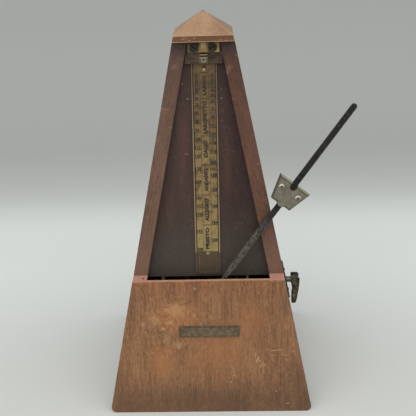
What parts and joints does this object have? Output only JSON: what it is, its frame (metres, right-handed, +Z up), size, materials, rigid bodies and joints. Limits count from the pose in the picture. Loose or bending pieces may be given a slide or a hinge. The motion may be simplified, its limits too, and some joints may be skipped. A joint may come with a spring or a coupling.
{
  "type": "wind-up pyramid metronome",
  "caption": "Wind-up wooden pyramid metronome with its front cover off, brass tempo scale, leaning pendulum with sliding weight, folding side key and full clockwork inside.",
  "frame": {"origin": "middle of the case's flat underside", "axes": "+Z up, front panel and scale facing -Y, winding key on the +X side"},
  "size_m": [0.1412, 0.1174, 0.2213],
  "materials": {
    "front_wood": "worn satin varnish over reddish-brown wood",
    "side_wood": "worn satin varnish over brown wood",
    "bay_wood": "dark satin varnish",
    "cap_wood": "worn bare wood with dark edges",
    "base_wood": "plain sanded wood",
    "scale_brass": "aged brass with printed scale",
    "pin_brass": "aged brass",
    "catch_brass": "rubbed brass",
    "name_plate_brass": "dull olive brass",
    "escutcheon_brass": "aged brass",
    "dark_screw_steel": "blued steel",
    "frame_steel": "plain sheet steel",
    "screw_steel": "plain steel",
    "movement_brass": "plain brass",
    "spring_steel": "blued spring steel",
    "arbor_steel": "turned steel",
    "rod_steel": "dark oxidised steel",
    "bob_iron": "raw casting",
    "weight_nickel": "worn nickel plate",
    "rivet_steel": "bright rivet heads",
    "key_steel": "dark gunmetal"
  },
  "bodies": {
    "case": {"front_panel": "front_wood", "back_board": "side_wood", "left_side_board": "side_wood", "right_side_board": "side_wood", "inner_panel": "bay_wood", "head_block": "bay_wood", "cap": "cap_wood", "base_board": "base_wood", "corner_blocks": "base_wood", "base_screws": "dark_screw_steel", "scale_plate": "scale_brass", "scale_pins": "pin_brass", "catch_crossbar": "catch_brass", "catch_bracket": "catch_brass", "catch_screws": "dark_screw_steel", "name_plate": "name_plate_brass", "name_plate_pins": "pin_brass", "escutcheon": "escutcheon_brass", "escutcheon_nails": "pin_brass", "left_frame_plate": "frame_steel", "right_frame_plate": "frame_steel", "frame_pillars": "frame_steel", "pillar_screws": "screw_steel", "foot_screws": "screw_steel", "front_bridge": "movement_brass", "rear_cock": "movement_brass", "escape_cock": "movement_brass", "bracket_screws": "screw_steel", "mainspring": "spring_steel"},
    "pendulum": {"verge": "arbor_steel", "pendulum_rod": "rod_steel", "bob_rod": "arbor_steel", "pendulum_hub": "arbor_steel", "pendulum_bob": "bob_iron"},
    "tempo_weight": {"weight_front": "weight_nickel", "weight_back": "weight_nickel", "weight_rivets": "rivet_steel", "weight_spring": "weight_nickel"},
    "great_wheel_group": {"great_wheel": "movement_brass", "click_stud": "arbor_steel", "click_spring": "spring_steel"},
    "click_lever": {"click": "arbor_steel"},
    "winding_group": {"winding_arbor": "arbor_steel", "ratchet_wheel": "arbor_steel", "key_hub": "key_steel", "key_pin": "key_steel"},
    "folding_key": {"key_bow": "key_steel"},
    "second_wheel_group": {"second_arbor": "arbor_steel", "second_wheel": "movement_brass"},
    "crown_wheel_group": {"crown_arbor": "arbor_steel", "crown_wheel": "movement_brass"}
  },
  "joints": [
    {"name": "pendulum_swing", "type": "hinge", "parent": "case", "child": "pendulum", "pos_m": [0, -0.04542, 0.06593], "axis": [0, -0.9802, 0.1982], "range_deg": [-2.8, 77.2]},
    {"name": "weight_slide", "type": "slide", "parent": "pendulum", "child": "tempo_weight", "axis": [0.6052, 0.1578, 0.7803], "range_m": [-0.057, 0.049]},
    {"name": "great_wheel_turn", "type": "hinge", "parent": "case", "child": "great_wheel_group", "pos_m": [0, -0.00004, 0.05573], "axis": [1, 0, 0], "continuous": true},
    {"name": "second_wheel_turn", "type": "hinge", "parent": "case", "child": "second_wheel_group", "pos_m": [0, -0.01922, 0.04579], "axis": [1, 0, 0], "continuous": true},
    {"name": "crown_wheel_turn", "type": "hinge", "parent": "case", "child": "crown_wheel_group", "pos_m": [0, -0.01994, 0.06078], "axis": [1, 0, 0], "continuous": true},
    {"name": "key_wind", "type": "hinge", "parent": "great_wheel_group", "child": "winding_group", "pos_m": [0, -0.00004, 0.05573], "axis": [1, 0, 0], "continuous": true},
    {"name": "click_lift", "type": "hinge", "parent": "great_wheel_group", "child": "click_lever", "pos_m": [0, 0.00226, 0.0671], "axis": [-1, 0, 0], "range_deg": [0, 8], "stiffness_Nm_per_rad": 0.002, "springref_deg": -5.73},
    {"name": "key_fold", "type": "hinge", "parent": "winding_group", "child": "folding_key", "pos_m": [0.05328, -0.00004, 0.05748], "axis": [0, -1, 0], "range_deg": [0, 90]}
  ],
  "couplings": [
    {"joint": "second_wheel_turn", "follows": "crown_wheel_turn", "ratio": -0.25},
    {"joint": "great_wheel_turn", "follows": "crown_wheel_turn", "ratio": 0.05}
  ]
}
